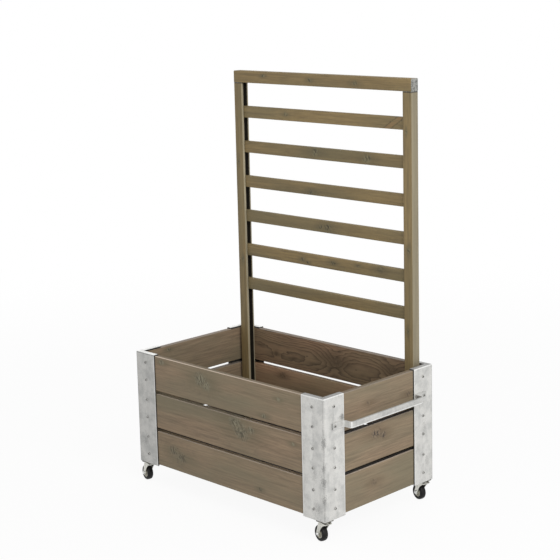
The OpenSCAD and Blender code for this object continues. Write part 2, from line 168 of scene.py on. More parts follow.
class Finish(Graph):
    def __init__(self, name):
        self.material = bpy.data.materials.new(name)
        self.material.use_nodes = True
        super().__init__(self.material.node_tree)

    def place(self):  # the point on the piece, in metres
        spot = self.node("ShaderNodeTexCoord", output="Object")
        return [self.node("ShaderNodeSeparateXYZ", inputs={0: spot}, output=i) for i in range(3)]

    def vector(self, x, y, z):
        return self.node("ShaderNodeCombineXYZ", inputs={0: x, 1: y, 2: z})

    def noise(self, spot, scale=1.0, detail=2.0, roughness=0.5):
        sizes = {"Vector": spot, "Scale": scale, "Detail": detail, "Roughness": roughness}
        return self.node("ShaderNodeTexNoise", inputs=sizes)

    def cells(self, spot, scale):  # a random value for each cell
        sizes = {"Vector": spot, "Scale": scale}
        colour = self.node("ShaderNodeTexVoronoi", inputs=sizes, output="Color")
        return self.node("ShaderNodeSeparateColor", inputs={0: colour})

    def rise(self, value, low, high):  # 0 below low and 1 above high
        sizes = {"Value": value, "From Min": low, "From Max": high}
        return self.node("ShaderNodeMapRange", {"interpolation_type": "SMOOTHSTEP"}, sizes)

    def near(self, value, inner, outer):  # 1 within inner of zero and 0 beyond outer
        return 1 - self.rise(self.single("ABSOLUTE", value), inner, outer)

    def mix(self, share, first, second):
        return self.node("ShaderNodeMix", {"data_type": "RGBA"}, {0: share, 6: first, 7: second}, 2)

    def shade(self, colour, amount):  # a colour times a number
        colour = colour if isinstance(colour, Wire) else colour[:3]
        return self.node("ShaderNodeVectorMath", {"operation": "SCALE"}, {0: colour, "Scale": amount})

    def single(self, operation, value):
        return self.node("ShaderNodeMath", {"operation": operation}, {0: value})

    def largest(self, values):
        top = values[0]
        for value in values[1:]:
            top = top.maths("MAXIMUM", top, value)
        return top

    def bump(self, height, depth, strength):
        sizes = {"Height": height, "Distance": depth, "Strength": strength}
        return self.node("ShaderNodeBump", inputs=sizes)

    def surface(self, **inputs):
        named = {name.replace("_", " "): value for name, value in inputs.items()}
        shader = self.node("ShaderNodeBsdfPrincipled", inputs=named)
        self.node("ShaderNodeOutputMaterial", inputs={"Surface": shader})
        return self.material


# Timber finish. Growth rings run round a pith outside the piece, and bend round its knots.

stainedTone = {
    "slot": "stained_wood",
    "cool": paint("#7a705a"),
    "warm": paint("#8a765f"),
    "late": 0.28,  # how much darker the late wood is
    "streak": 0.27,  # how much its long streaks, threads and fibres differ
    "thread": 0.50,
    "fibre": 0.22,
    "stain": paint("#5f5a45"),  # round the knots
    "knotPale": paint("#928f78"),
    "knotDark": paint("#3a3426"),
    "worn": paint("#b9aa9a"),  # along the top edge: wear, and painted light
    "endGrain": paint("#8a877c"),
    "ring": 4.6 * mm,  # width of a year's growth
    "roughness": 0.74,
}
shadyTone = {  # the boards that show their inner side: darker and browner, as painted shade of the box's inside
    **stainedTone,
    "cool": paint("#76644c"),
    "warm": paint("#846850"),
    "stain": paint("#4a3a28"),
    "knotPale": paint("#6d5a44"),
    "knotDark": paint("#2f2216"),
    "late": 0.34,
}
sunnyTone = {  # the right end, whose knots are browner
    **stainedTone,
    "stain": paint("#67553f"),
    "knotPale": paint("#84745f"),
    "knotDark": paint("#3a3028"),
}
shadedFloorTone = {  # painted shade: dark, for the deep shade inside the box
    **stainedTone,
    "cool": paint("#2e271e"),
    "warm": paint("#372e24"),
    "stain": paint("#241e17"),
    "knotPale": paint("#4a4032"),
    "knotDark": paint("#1a150f"),
}
oliveTone = {  # the trellis
    **stainedTone,
    "slot": "olive_wood",
    "cool": paint("#736749"),
    "warm": paint("#87734d"),
    "stain": paint("#57503a"),
    "knotPale": paint("#8a8362"),
    "knotDark": paint("#3f3823"),
    "worn": paint("#b3a78a"),
    "heart": paint("#94714a"),  # inside a branch cut along its length
    "endGrain": paint("#8f8f8a"),
    "ring": 3.4 * mm,
    "roughness": 0.66,
}
timberGrain = {  # scale along and across, detail and roughness of each noise
    "wander": (1.3, 3, 2),
    "sway": (2.0, 2.5, 1),
    "stray": (8, 24, 3),
    "knotEdge": (60, 110, 3),
    "stainEdge": (14, 70, 3),
    "streak": (3.5, 75, 4, 0.6),
    "lively": (1.5, 9, 2),
    "thread": (11, 200, 3, 0.65),
    "fibre": (40, 1300, 3, 0.6),
    "cloud": (2.0, 8, 3),
}
timberGrowth = {
    "pithAside": 0.03,  # how far the pith may lie to the side of the piece
    "pithDepth": (0.05, 0.09),  # and how far behind or before its middle
    "lean": 0.02,  # how far it may slant away along the piece
    "tint": (0.95, 1.04),  # how much one piece is lighter than another
    "bump": 0.35 * mm,
}
usualLook = {  # a piece's own look changes these
    "knots": (),  # place along and across the piece and radius, in mm
    "knotDepth": 1.0,  # how strongly the knots show
    "pale": 0.40,  # how pale they are between their dark strokes
    "rings": 0.42,  # how strongly the rings show away from the knots
    "wild": 0.006,  # how far the rings stray, in metres
    "lift": 1.0,  # how light the piece is
    "seams": (),  # edges of steel or of the rail, with a line of painted shade beside them, by their place along the piece
}
timberShade = {  # how dark the painted shade is in the hidden places
    "underSteel": 0.94,
    "seam": 0.85,
    "groove": 0.93,
}


def timberFinish(name, low, high, axes, tone, seed, look):
    look = {**usualLook, "ring": tone["ring"], **look}
    along, across = axes[:2]
    middle = (low + high) / 2
    halfLength, halfWidth, halfDepth = ((high - low)[axis] / 2 for axis in axes)
    chance = random.Random(seed)
    wood = Finish(name)
    spot = wood.place()
    a, b, c = (spot[axis] - middle[axis] for axis in axes)
    shift = [chance.uniform(-40, 40) for _ in range(3)]

    def grain(kind):
        alongScale, acrossScale, *rest = timberGrain[kind]
        parts = zip((a, b, c), (alongScale, acrossScale, acrossScale), shift)
        point = wood.vector(*(value * scale + move for value, scale, move in parts))
        return wood.noise(point, 1.0, *rest)

    wander = (grain("wander") - 0.5) * 0.03
    sway = (grain("sway") - 0.5) * 0.014
    pithB = chance.uniform(-timberGrowth["pithAside"], timberGrowth["pithAside"])
    pithC = chance.choice((-1, 1)) * chance.uniform(*timberGrowth["pithDepth"])
    lean = chance.uniform(-timberGrowth["lean"], timberGrowth["lean"])
    sideways = b - pithB + wander
    inwards = c - pithC + a * lean + sway
    radius = (sideways * sideways + inwards * inwards) ** 0.5
    radius = radius + (grain("stray") - 0.5) * look["wild"]

    cores, halos = [], []
    for knotA, knotB, size in look["knots"]:
        knotA, knotB, size = knotA * mm - middle[along], knotB * mm - middle[across], size * mm
        fromA = (a - knotA) * (0.8 / size)
        fromB = (b - knotB) * (1 / size)
        apart = (fromA * fromA + fromB * fromB) ** 0.5
        swirl = wood.single("EXPONENT", apart * apart * -0.16)
        radius = radius + swirl * (size * 1.1)
        cores.append(1 - wood.rise(apart + (grain("knotEdge") - 0.5) * 1.8, 0.3, 1.8))
        stretched = fromA * 0.45
        wide = (stretched * stretched + fromB * fromB) ** 0.5
        halos.append(1 - wood.rise(wide + (grain("stainEdge") - 0.5) * 1.4, 0.3, 2.8))

    year = wood.single("FRACT", radius / look["ring"])
    late = year ** 3.0
    streak = grain("streak") - 0.5
    lively = 0.3 + wood.rise(grain("lively"), 0.36, 0.62) * 0.8
    thread = (grain("thread") - 0.5) * lively
    fibre = grain("fibre") - 0.5
    cloud = wood.rise(grain("cloud"), 0.30, 0.70)
    tint = chance.uniform(*timberGrowth["tint"])
    halo = wood.largest(halos) if halos else 0.0
    light = tint * look["lift"] * (
        1 - late * tone["late"] * (halo * 0.35 + look["rings"]) + streak * tone["streak"] * 2
        + thread * tone["thread"] * 2 + fibre * tone["fibre"] * 2
    )
    colour = wood.shade(wood.mix(cloud, tone["cool"], tone["warm"]), light)
    height = late * -0.4 + fibre * 1.2 + thread * 0.8 + streak * 0.6
    roughness = tone["roughness"] + fibre * 0.25 - late * 0.06
    if halos:  # a stain round each knot, a pale heart and dark strokes in it
        dashSpot = wood.vector((a * 0.9 + b * 0.4) * 210 + shift[1], (a * 0.4 - b * 0.9) * 70, c * 150)
        dash = wood.rise(wood.noise(dashSpot, detail=3, roughness=0.65), 0.44, 0.58)
        core = wood.largest(cores)
        depth = look["knotDepth"]
        colour = wood.mix(halo * 0.5, colour, wood.shade(tone["stain"], 0.8 + year * 0.4))
        colour = wood.mix(core * look["pale"] * depth, colour, tone["knotPale"])
        colour = wood.mix(core * dash * 0.85 * depth, colour, tone["knotDark"])
        height = height - core * dash * 0.8
        roughness = roughness - core * 0.08
    if "spike" in look:  # a branch cut along its length: its place and half width, in mm
        spikeA, spikeB, wide = look["spike"]
        leaning = (b - (spikeB * mm - middle[across])) * 1.5
        off = wood.single("ABSOLUTE", a - (spikeA * mm - middle[along]) - leaning) + thread * 0.03
        fan = (1 - wood.rise(off, wide * 0.8 * mm, wide * mm)) * wood.rise(thread, -0.12, 0.12)
        colour = wood.mix(fan * 0.6, colour, tone["heart"])
        edge = wood.rise(off, wide * 0.7 * mm, wide * 0.95 * mm)
        edge = edge * (1 - wood.rise(off, wide * 1.05 * mm, wide * 1.3 * mm))
        colour = wood.mix(edge * 0.6, colour, tone["knotDark"])
    if "rim" in look:  # how pale the upper edge is, at its two ends: wear, and painted light
        start, finish = look["rim"]
        rim = wood.rise(b, halfWidth - 1.3 * mm, halfWidth - 0.5 * mm)
        slope = start + (finish - start) * (a / (2 * halfLength) + 0.5)
        top = wood.shade(tone["worn"], slope * (0.95 + streak * 0.8))
        if "outer" in look:  # only the half on this side is worn and painted light; inside scales the other half's colour, above 1 as painted light and below 1 as painted shade
            inner = wood.rise(halfDepth - c * look["outer"], 4 * mm, 7 * mm)
            top = wood.mix(inner, top, wood.shade(colour, look["inside"]))
        colour = wood.mix(rim, colour, top)
        if "cap" in look:  # from here to the ends the edge lies under the steel's flange, and is darkened there as painted shade
            cap = look["cap"] * mm
            underSteel = wood.rise(wood.single("ABSOLUTE", a), cap - 1 * mm, cap + 1 * mm)
            colour = wood.shade(colour, 1 - rim * underSteel * timberShade["underSteel"])
    if "damp" in look:  # painted shade on the inner side: which side that is, and how dark the shade is at the top and at the bottom
        side, upper, lower = look["damp"]
        onInside = wood.rise(c * side, halfDepth - 2 * mm, halfDepth - 1 * mm)
        depth = upper + (lower - upper) * (0.5 - b / (2 * halfWidth))
        colour = wood.shade(colour, 1 - onInside * depth)
    # a line of painted shade beside each such edge
    for seam in look["seams"]:
        seamShade = wood.near(a - (seam * mm - middle[along]), 1.2 * mm, 3.2 * mm)
        colour = wood.shade(colour, 1 - seamShade * timberShade["seam"])
    if "groove" in look:  # painted shade in the groove: the side it opens to, its front, its back and its bottom
        inner, front, back, bottom = look["groove"]
        inside = wood.rise(c, front - 0.8 * mm, front - 0.4 * mm)
        inside = inside * (1 - wood.rise(c, back + 0.4 * mm, back + 0.8 * mm))
        inside = inside * wood.rise(b * inner, bottom * inner - 1.0 * mm, bottom * inner - 0.6 * mm)
        colour = wood.shade(colour, 1 - inside * timberShade["groove"])
    end = wood.rise(wood.single("ABSOLUTE", a), halfLength - 1.2 * mm, halfLength - 0.6 * mm)
    pores = wood.rise(wood.noise(wood.vector(*spot), 190, 4, 0.7), 0.36, 0.62)
    endColour = wood.shade(tone["endGrain"], 0.45 + pores * 0.85 - late * 0.25)
    return wood.surface(
        Base_Color=wood.mix(end, colour, endColour),
        Roughness=roughness,
        Normal=wood.bump(height, timberGrowth["bump"], 0.8),
    )


# Finishes of the steel, rubber and plastic

galvanised = {
    "light": paint("#dad9d5"),
    "dull": paint("#c6c6c3"),
    # dross runs and marks, and on front_left's fold a line of painted shade
    "dross": paint("#858583"),
    "bright": paint("#f0f0ee"),  # painted highlight on the edges, folds and tops, with the thicker zinc along the edges
    "raw": paint("#2c2a27"),  # painted shade on the cut edges, the flange's lip and the legs' backs
    "rawShare": 0.92,
    "spangle": 0.05,  # how far the crystals differ
    "fine": 0.36,  # how grainy the zinc is
    "crystals": 150,  # to the metre
    "bump": 0.25 * mm,
}
cornerSteel = {
    "edge": 0.45 * mm,  # the rounding of the steel's edges
    "flange": 18 * mm,  # how far it lies over the boards
    "sheet": 2.5 * mm,  # the steel's thickness
}


def galvanisedFinish(name, box, look):
    low, high = box
    steel = Finish(name)
    x, y, z = steel.place()
    spot = steel.vector(x, y, z)
    wavy = steel.noise(spot, 30, 3) - 0.5
    cloud = steel.noise(spot, 26, 5, 0.66)
    fine = steel.noise(spot, 330, 4, 0.7) - 0.5
    bent = steel.vector(x + wavy * 0.012, y + wavy * 0.012, z + wavy * 0.012)
    spangle = steel.cells(bent, galvanised["crystals"]) - 0.5
    runs = steel.noise(steel.vector(x * 60, y * 60, z * 16), 1, 4, 0.65)
    dull = steel.rise(cloud, 0.40, 0.66)
    colour = steel.mix(dull, galvanised["light"], galvanised["dull"])
    patchy = 1 + spangle * galvanised["spangle"] + fine * galvanised["fine"]
    colour = steel.shade(colour, look["shade"] * patchy)
    dross = steel.rise(runs, 0.58, 0.76) * 0.30
    if "flange" in look:  # a corner of the box
        bends, rims, cuts, lips, backs = [], [], [], [], []
        for value, near, far in ((x, low.x, high.x), (y, low.y, high.y)):
            leg, bend = sorted((abs(near), abs(far)))
            out = value * (1 if near > 0 else -1)
            bends.append((out - bend) ** 2)
            rims.append(1 - steel.rise(out, leg + 1.5 * mm, leg + 4 * mm))
            cuts.append(1 - steel.rise(out, leg + 0.2 * mm, leg + 0.45 * mm))
            lips.append(steel.near(out - (bend - cornerSteel["flange"]), 0.2 * mm, 0.45 * mm))
            backs.append(steel.near(out - (bend - cornerSteel["sheet"]), 0.1 * mm, 0.3 * mm))
        fromBend = (bends[0] + bends[1]) ** 0.5
        streaks = steel.rise(steel.noise(steel.vector(x * 34, y * 34, z * 24), 1, 4, 0.7), 0.50, 0.68)
        atBend = (1 - steel.rise(fromBend, 0.5 * mm, 5 * mm)) * (0.22 + streaks * 0.6)
        dross = steel.largest([dross, atBend])
        onTop = steel.rise(z, high.z - 0.6 * mm, high.z - 0.3 * mm)
        fold = steel.rise(z, high.z - 4.5 * mm, high.z - 2.5 * mm) * (1 - onTop)
        # painted highlight on the edges and the fold under the top; the top itself is painted light or
        # painted shade by flange
        colour = steel.mix(steel.largest(rims) * 0.7, colour, galvanised["bright"])
        colour = steel.mix(fold * 0.75, colour, galvanised[look["fold"]])
        litTop = steel.shade(galvanised["bright"], look["flange"] * (1 + fine * 0.3))
        colour = steel.mix(onTop, colour, litTop)
        # painted shade on the cut edges, the flange's lip and the back of the legs
        flange = steel.rise(z, high.z - 2.7 * mm, high.z - 2.4 * mm)
        overFoot = steel.rise(z, low.z + 2 * mm, low.z + 4 * mm)
        behind = steel.largest(backs) * (1 - flange) * overFoot
        shadedEdge = steel.largest([*cuts, steel.largest(lips) * flange, behind])
    if "arm" in look:  # the handle: a painted highlight along its lower edge, with the thicker zinc there, and on its outer folds; painted shade on the inner side of its loop
        arm = look["arm"]
        outY = steel.single("ABSOLUTE", y)
        onBar = 1 - steel.rise(outY, arm - 4 * mm, arm)
        lowEdge = (1 - steel.rise(z, low.z + 1.5 * mm, low.z + 4 * mm)) * (0.3 + onBar * 0.6)
        colour = steel.mix(lowEdge, colour, galvanised["bright"])
        dross = steel.largest([
            dross,
            steel.rise(z, high.z - 2.5 * mm, high.z - 1 * mm) * onBar * 0.45,
            steel.rise(outY, high.y - 1.6 * mm, high.y - 0.8 * mm) * 0.55,
        ])
        innerSide = 1 - steel.largest([
            steel.rise(z, high.z - 0.8 * mm, high.z - 0.4 * mm),
            steel.rise(outY, arm - 3.6 * mm, arm - 3.2 * mm),
            steel.rise(x, high.x - 3.6 * mm, high.x - 3.2 * mm),
        ])
        colour = steel.shade(colour, 1 - innerSide * look["innerShade"])
        foldX = x - (high.x - 2 * mm)
        foldY = outY - (arm - 4.2 * mm)
        fold = 1 - steel.rise((foldX * foldX + foldY * foldY) ** 0.5, 1.2 * mm, 3.2 * mm)
        colour = steel.mix(fold * look["foldShine"], colour, galvanised["bright"])
    for markX, markY, markZ, wide, tall, strength in look.get("marks", ()):
        dx = (x - markX * mm) / (wide * mm)
        dy = (y - markY * mm) / (wide * mm)
        dz = (z - markZ * mm) / (tall * mm)
        apart = (dx * dx + dy * dy + dz * dz) ** 0.5 + (cloud - 0.5) * 2.6 + fine * 4.0
        dross = steel.largest([dross, (1 - steel.rise(apart, 0.1, 1.3)) * strength])
    colour = steel.mix(dross, colour, galvanised["dross"])
    # the painted shade on those edges
    if "flange" in look:
        colour = steel.mix(shadedEdge * galvanised["rawShare"], colour, galvanised["raw"])
    height = spangle * 0.4 + cloud * 1.2 + fine * 0.9 + dross * 0.6
    return steel.surface(
        Base_Color=colour,
        Metallic=0.35 + spangle * 0.2,
        Roughness=0.48 + dull * 0.12 + spangle * 0.12 + dross * 0.1,
        Normal=steel.bump(height, galvanised["bump"], 0.7),
    )


def zincFinish(name, code, roughness, recess=False):
    zinc = Finish(name)
    spot = zinc.vector(*zinc.place())
    cloud = zinc.noise(spot, 120, 4, 0.6)
    fine = zinc.noise(spot, 1400, 2)
    colour = zinc.mix(zinc.rise(cloud, 0.35, 0.7), paint(code), zinc.shade(paint(code), 0.72))
    if recess:  # painted shade in the drive and round the rim of the head
        depth = zinc.node("ShaderNodeAttribute", {"attribute_name": "recess"}, output="Fac")
        colour = zinc.shade(colour, 1 - depth * 0.93)
    return zinc.surface(
        Base_Color=colour,
        Metallic=0.9,
        Roughness=roughness + cloud * 0.2 + fine * 0.06,
        Normal=zinc.bump(cloud + fine * 0.4, 0.06 * mm, 0.6),
    )


def rubberFinish(name):
    rubber = Finish(name)
    spot = rubber.vector(*rubber.place())
    dust = rubber.rise(rubber.noise(spot, 90, 5, 0.65), 0.45, 0.8)
    grain = rubber.noise(spot, 1800, 2)
    return rubber.surface(
        Base_Color=rubber.mix(dust * 0.5, paint("#0a0909"), paint("#2c2926")),
        Roughness=0.42 + dust * 0.25 + grain * 0.08,
        Specular_IOR_Level=0.25,
        Normal=rubber.bump(grain, 0.08 * mm, 0.6),
    )


def plasticFinish(name):
    plastic = Finish(name)
    spot = plastic.vector(*plastic.place())
    cloud = plastic.noise(spot, 110, 4, 0.6)
    grain = plastic.noise(spot, 1500, 2)
    return plastic.surface(
        Base_Color=plastic.mix(cloud, paint("#cdcabb"), paint("#b4b1a3")),
        Roughness=0.42 + grain * 0.12,
        Normal=plastic.bump(grain, 0.05 * mm, 0.5),
    )


# Helpers for the pieces

def camelName(node):
    first, *others = node.split("_")
    return first + "".join(word.capitalize() for word in others)


def addObject(name, data):
    made = bpy.data.objects.new(name, data)
    bpy.context.scene.collection.objects.link(made)
    return made


def smooth(mesh, angle=32):
    for face in mesh.polygons:
        face.use_smooth = True
    mesh.set_sharp_from_angle(angle=math.radians(angle))


def standFor(node, mesh, material, slot, name=None):
    name = name or camelName(node)  # the piece takes the CAD node's place, on its body
    mesh.name = name
    mesh.materials.clear()
    mesh.materials.append(material)
    piece = addObject(name, mesh)
    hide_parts(node)
    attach(piece, frame["nodes"][node]["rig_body"])


def mergedCopy(node):
    shape = bmesh.new()
    shape.from_mesh(frame["nodes"][node].data)
    bmesh.ops.remove_doubles(shape, verts=shape.verts, dist=0.01 * mm)
    return shape


def meshOf(name, shape):
    mesh = bpy.data.meshes.new(name)
    shape.to_mesh(mesh)
    shape.free()
    return mesh


def applied(thing):  # the object's finished mesh, once its modifiers are live
    bpy.context.view_layer.update()
    finished = thing.evaluated_get(bpy.context.evaluated_depsgraph_get())
    mesh = bpy.data.meshes.new_from_object(finished)
    thing.modifiers.clear()
    bpy.data.objects.remove(thing)
    return mesh


def softened(node, width, steps=2, angle=35):
    shape = mergedCopy(node)  # a copy of a CAD node with its sharp edges broken
    flat = math.radians(0.5)
    bmesh.ops.dissolve_limit(shape, angle_limit=flat, verts=shape.verts, edges=shape.edges)
    blank = addObject("blank", meshOf("blank", shape))
    bevel = blank.modifiers.new("edges", "BEVEL")
    bevel.width = width
    bevel.segments = steps
    bevel.limit_method = "ANGLE"
    bevel.angle_limit = math.radians(angle)
    bevel.use_clamp_overlap = True
    mesh = applied(blank)
    smooth(mesh)
    return mesh


def geometryTree(name, sockets):
    tree = bpy.data.node_groups.new(name, "GeometryNodeTree")
    graph = Graph(tree)
    for label, kind in sockets:
        tree.interface.new_socket(label, in_out="INPUT", socket_type="NodeSocket" + kind)
    tree.interface.new_socket("Geometry", in_out="OUTPUT", socket_type="NodeSocketGeometry")
    source = tree.nodes.new("NodeGroupInput")
    return graph, {socket.name: Wire(graph, socket) for socket in source.outputs if socket.name}


def closeTree(graph, shape, material):
    whole = graph.node("GeometryNodeRealizeInstances", inputs={0: shape})
    painted = graph.node("GeometryNodeSetMaterial", inputs={"Geometry": whole, "Material": material})
    graph.node("NodeGroupOutput", inputs={0: painted})
    return graph.tree


def grown(tree, values, start=None):
    blank = addObject("blank", start or bpy.data.meshes.new("blank"))
    modifier = blank.modifiers.new("shape", "NODES")
    modifier.node_group = tree
    keys = {item.name: item.identifier for item in tree.interface.items_tree if item.in_out == "INPUT"}
    for label, value in values.items():
        modifier[keys[label]] = value
    return applied(blank)


# Timber pieces: an outline swept along the piece, with eased edges and the waves of planed wood

timberCut = {
    "arris": 2.0 * mm,  # the radius of the long edges
    "endEase": 0.7 * mm,
    "grooveLip": 0.6 * mm,
    "grooveCorner": 0.1 * mm,
    "station": 18 * mm,
    "wave": 0.35 * mm,
    "waveScale": 14.0,
}
slatPlay = {"across": 0.4 * mm, "end": 0.6 * mm}


def easedOutline(points, steps=4):  # each point is x, y and the radius of its corner
    outline = []
    for i, (x, y, radius) in enumerate(points):
        here = Vector((x, y))
        before = (Vector(points[i - 1][:2]) - here).normalized()
        after = (Vector(points[(i + 1) % len(points)][:2]) - here).normalized()
        centre = here + (before + after) * radius
        for step in range(steps + 1):
            turn = step / steps * math.pi / 2
            outline.append(centre - after * radius * math.cos(turn) - before * radius * math.sin(turn))
    return outline


def outlineCurve(points):
    data = bpy.data.curves.new("outline", "CURVE")
    data.dimensions = "3D"
    line = data.splines.new("POLY")
    line.points.add(len(points) - 1)
    line.use_cyclic_u = True
    for place, point in zip(line.points, points):
        place.co = (point.x, point.y, 0, 1)
    return addObject("outline", data)


def makeTimberTree():
    graph, given = geometryTree("sweptTimber", (
        ("Outline", "Object"), ("Length", "Float"), ("Station", "Float"),
        ("Wave", "Float"), ("Wave Scale", "Float"), ("Seed", "Float"), ("Finish", "Material"),
    ))
    half = given["Length"] * 0.5
    start = graph.node("ShaderNodeCombineXYZ", inputs={2: half * -1})
    end = graph.node("ShaderNodeCombineXYZ", inputs={2: half})
    run = graph.node("GeometryNodeCurvePrimitiveLine", inputs={"Start": start, "End": end})
    spacing = {"Curve": run, "Length": given["Station"]}
    spaced = graph.node("GeometryNodeResampleCurve", {"mode": "LENGTH"}, spacing)
    outline = graph.node("GeometryNodeObjectInfo", inputs={"Object": given["Outline"]}, output="Geometry")
    swept = graph.node("GeometryNodeCurveToMesh", inputs={
        "Curve": spaced, "Profile Curve": outline, "Fill Caps": True})
    spot = graph.node("GeometryNodeInputPosition")
    normal = graph.node("GeometryNodeInputNormal")
    seeded = graph.node("ShaderNodeVectorMath", {"operation": "ADD"}, {0: spot, 1: given["Seed"]})
    waves = graph.node("ShaderNodeTexNoise", inputs={
        "Vector": seeded, "Scale": given["Wave Scale"], "Detail": 2.0})
    inward = (waves - 0.15) * given["Wave"] * -1  # nearly all of it below the sawn faces
    offset = graph.node("ShaderNodeVectorMath", {"operation": "SCALE"}, {0: normal, "Scale": inward})
    wavy = graph.node("GeometryNodeSetPosition", inputs={"Geometry": swept, "Offset": offset})
    return closeTree(graph, wavy, given["Finish"])


timberTree = makeTimberTree()


def easeEnds(shape, along, width):  # a small chamfer round both end faces
    rims = {
        edge for face in shape.faces if len(face.verts) > 4 and abs(face.normal[along]) > 0.9
        for edge in face.edges
    }
    edges = sorted(rims, key=lambda edge: edge.index)
    bmesh.ops.bevel(shape, geom=edges, offset=width, segments=2, profile=0.5, affect="EDGES")


def makeTimber(node, axes, tone, seed, look={}, outline=None):
    low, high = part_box(node)
    along, across, through = axes
    size = high - low
    if outline is None:
        wide, deep, ease = size[across] / 2, size[through] / 2, timberCut["arris"]
        square = [(-wide, -deep, ease), (wide, -deep, ease), (wide, deep, ease), (-wide, deep, ease)]
        outline = easedOutline(square)
    finish = timberFinish(camelName(node), low, high, axes, tone, seed, look)
    profile = outlineCurve(outline)
    mesh = grown(timberTree, {
        "Outline": profile,
        "Length": size[along],
        "Station": timberCut["station"],
        "Wave": timberCut["wave"],
        "Wave Scale": timberCut["waveScale"],
        "Seed": float(seed),
        "Finish": finish,
    })
    bpy.data.objects.remove(profile)
    turn = Matrix.Identity(3)  # the outline's X goes across the piece and its Y through it
    for column, axis in enumerate((across, through, along)):
        turn.col[column] = [float(axis == i) for i in range(3)]
    mesh.transform(Matrix.Translation((low + high) / 2) @ turn.to_4x4())
    shape = bmesh.new()
    shape.from_mesh(mesh)
    bmesh.ops.remove_doubles(shape, verts=shape.verts, dist=0.001 * mm)
    bmesh.ops.recalc_face_normals(shape, faces=shape.faces)
    easeEnds(shape, along, timberCut["endEase"])
    bpy.data.meshes.remove(mesh)
    mesh = meshOf(node, shape)
    smooth(mesh)
    standFor(node, mesh, finish, tone["slot"])


# Boards, floor and trellis. Knots and all other places on them are in mm.

# lower boards: rim paints the outer half of the top pale, as wear and painted light; inside paints the
# inner half, lighter on the front as painted light and near black on the right as painted shade
frontEdge = {"rim": (0.85, 0.85), "outer": -1, "inside": 1.2, "seams": [-335]}
rightEdge = {"rim": (0.85, 0.85), "outer": 1, "inside": 0.05, "seams": [162]}
boardLooks = {
    "front_board_top": {
        "knots": [(-112, 412, 18), (-84, 396, 13), (-300, 436, 8), (238, 416, 5), (174, 350, 6)],
        "rim": (1.7, 0.75), "outer": -1, "inside": 0.8, "cap": 335, "seams": [-335]},
    "front_board_mid": {
        **frontEdge, "knots": [(44, 304, 17), (70, 280, 21), (112, 291, 10), (296, 289, 5)],
        "damp": (1, 0.15, 0.65), "lift": 0.96},
    "front_board_low": {
        **frontEdge, "knots": [(-252, 141, 15), (-222, 128, 16), (150, 110, 5)], "pale": 0.12,
        "damp": (1, 0.65, 0.88), "lift": 0.97},
    "right_board_top": {
        "knots": [(-50, 395, 6), (136, 381, 7)], "knotDepth": 0.8,
        "rim": (0.6, 0.55), "outer": 1, "inside": 0.8, "cap": 162, "seams": [162],
        "lift": 1.03, "rings": 0.3},
    "right_board_mid": {
        **rightEdge, "knots": [(-16, 291, 14), (14, 279, 10)], "knotDepth": 1.25,
        "damp": (-1, 0.15, 0.65), "lift": 0.97, "rings": 0.26},
    "right_board_low": {
        **rightEdge, "knots": [(-27, 139, 9)], "knotDepth": 0.7,
        "damp": (-1, 0.65, 0.88), "lift": 1.05, "rings": 0.3},
    "rear_board_top": {
        "knots": [(30, 396, 16), (277, 410, 11), (-250, 372, 5)], "knotDepth": 0.5,
        "rings": 1.9, "ring": 5.2 * mm, "wild": 0.02, "rim": (0.6, 0.45), "cap": 335, "lift": 1.18},
    "rear_board_mid": {
        "knots": [(-220, 299, 8), (120, 250, 6)], "damp": (-1, -0.1, 0.4), "lift": 1.45},
    "rear_board_low": {
        "knots": [(-90, 150, 8), (260, 120, 7)], "rim": (0.5, 0.5), "damp": (-1, 0.6, 0.85)},
    "left_board_top": {"knots": [(-129, 436, 5)], "rim": (0.6, 0.6), "cap": 162},
    "left_board_mid": {"knots": [(-60, 250, 9)], "rim": (0.5, 0.5), "damp": (1, 0.0, 0.5)},
    "left_board_low": {"knots": [(110, 150, 8)], "rim": (0.5, 0.5), "damp": (1, 0.6, 0.85)},
}
# a post's rim paints its side toward +x paler, as painted light; its seam at 1313 is a line of painted
# shade under the rail
postLooks = {
    "trellis_post_left": {
        "knots": [(700, -372, 5), (1040, -380, 4)], "rim": (0.75, 0.75), "seams": [1313]},
    "trellis_post_right": {
        "knots": [(820, 378, 6), (1190, 370, 4), (560, 372, 5)], "rim": (0.58, 0.58), "seams": [1313],
        "lift": 1.05},
}
slatLooks = {
    "trellis_top_rail": {"knots": [(-36, 1333, 5), (162, 1331, 6), (-250, 1340, 4)]},
    "trellis_slat_1": {"knots": [(-156, 1215, 5)], "spike": (313, 1214, 15)},
    "trellis_slat_2": {"knots": [(-24, 1098, 11), (201, 1093, 11)]},
    "trellis_slat_3": {"knots": [(-46, 966, 7)], "pale": 0.1},
    "trellis_slat_4": {"knots": [(26, 853, 11), (-4, 852, 7)], "knotDepth": 1.2, "pale": 0.15},
    "trellis_slat_5": {
        "knots": [(-92, 732, 5), (-68, 725, 4), (48, 738, 6), (157, 741, 4), (252, 742, 8)],
        "pale": 0.1},
    "trellis_slat_6": {},
}
slatKnotDepth = 1.3

longBoard = (0, 2, 1)  # the axes along, across and through it: X is 0, Y 1 and Z 2
endBoard = (1, 2, 0)
floorBoard = (1, 0, 2)
upright = (2, 0, 1)
firstSeed = {"board": 11, "bearer": 31, "floorSlat": 41, "post": 61, "slat": 71}

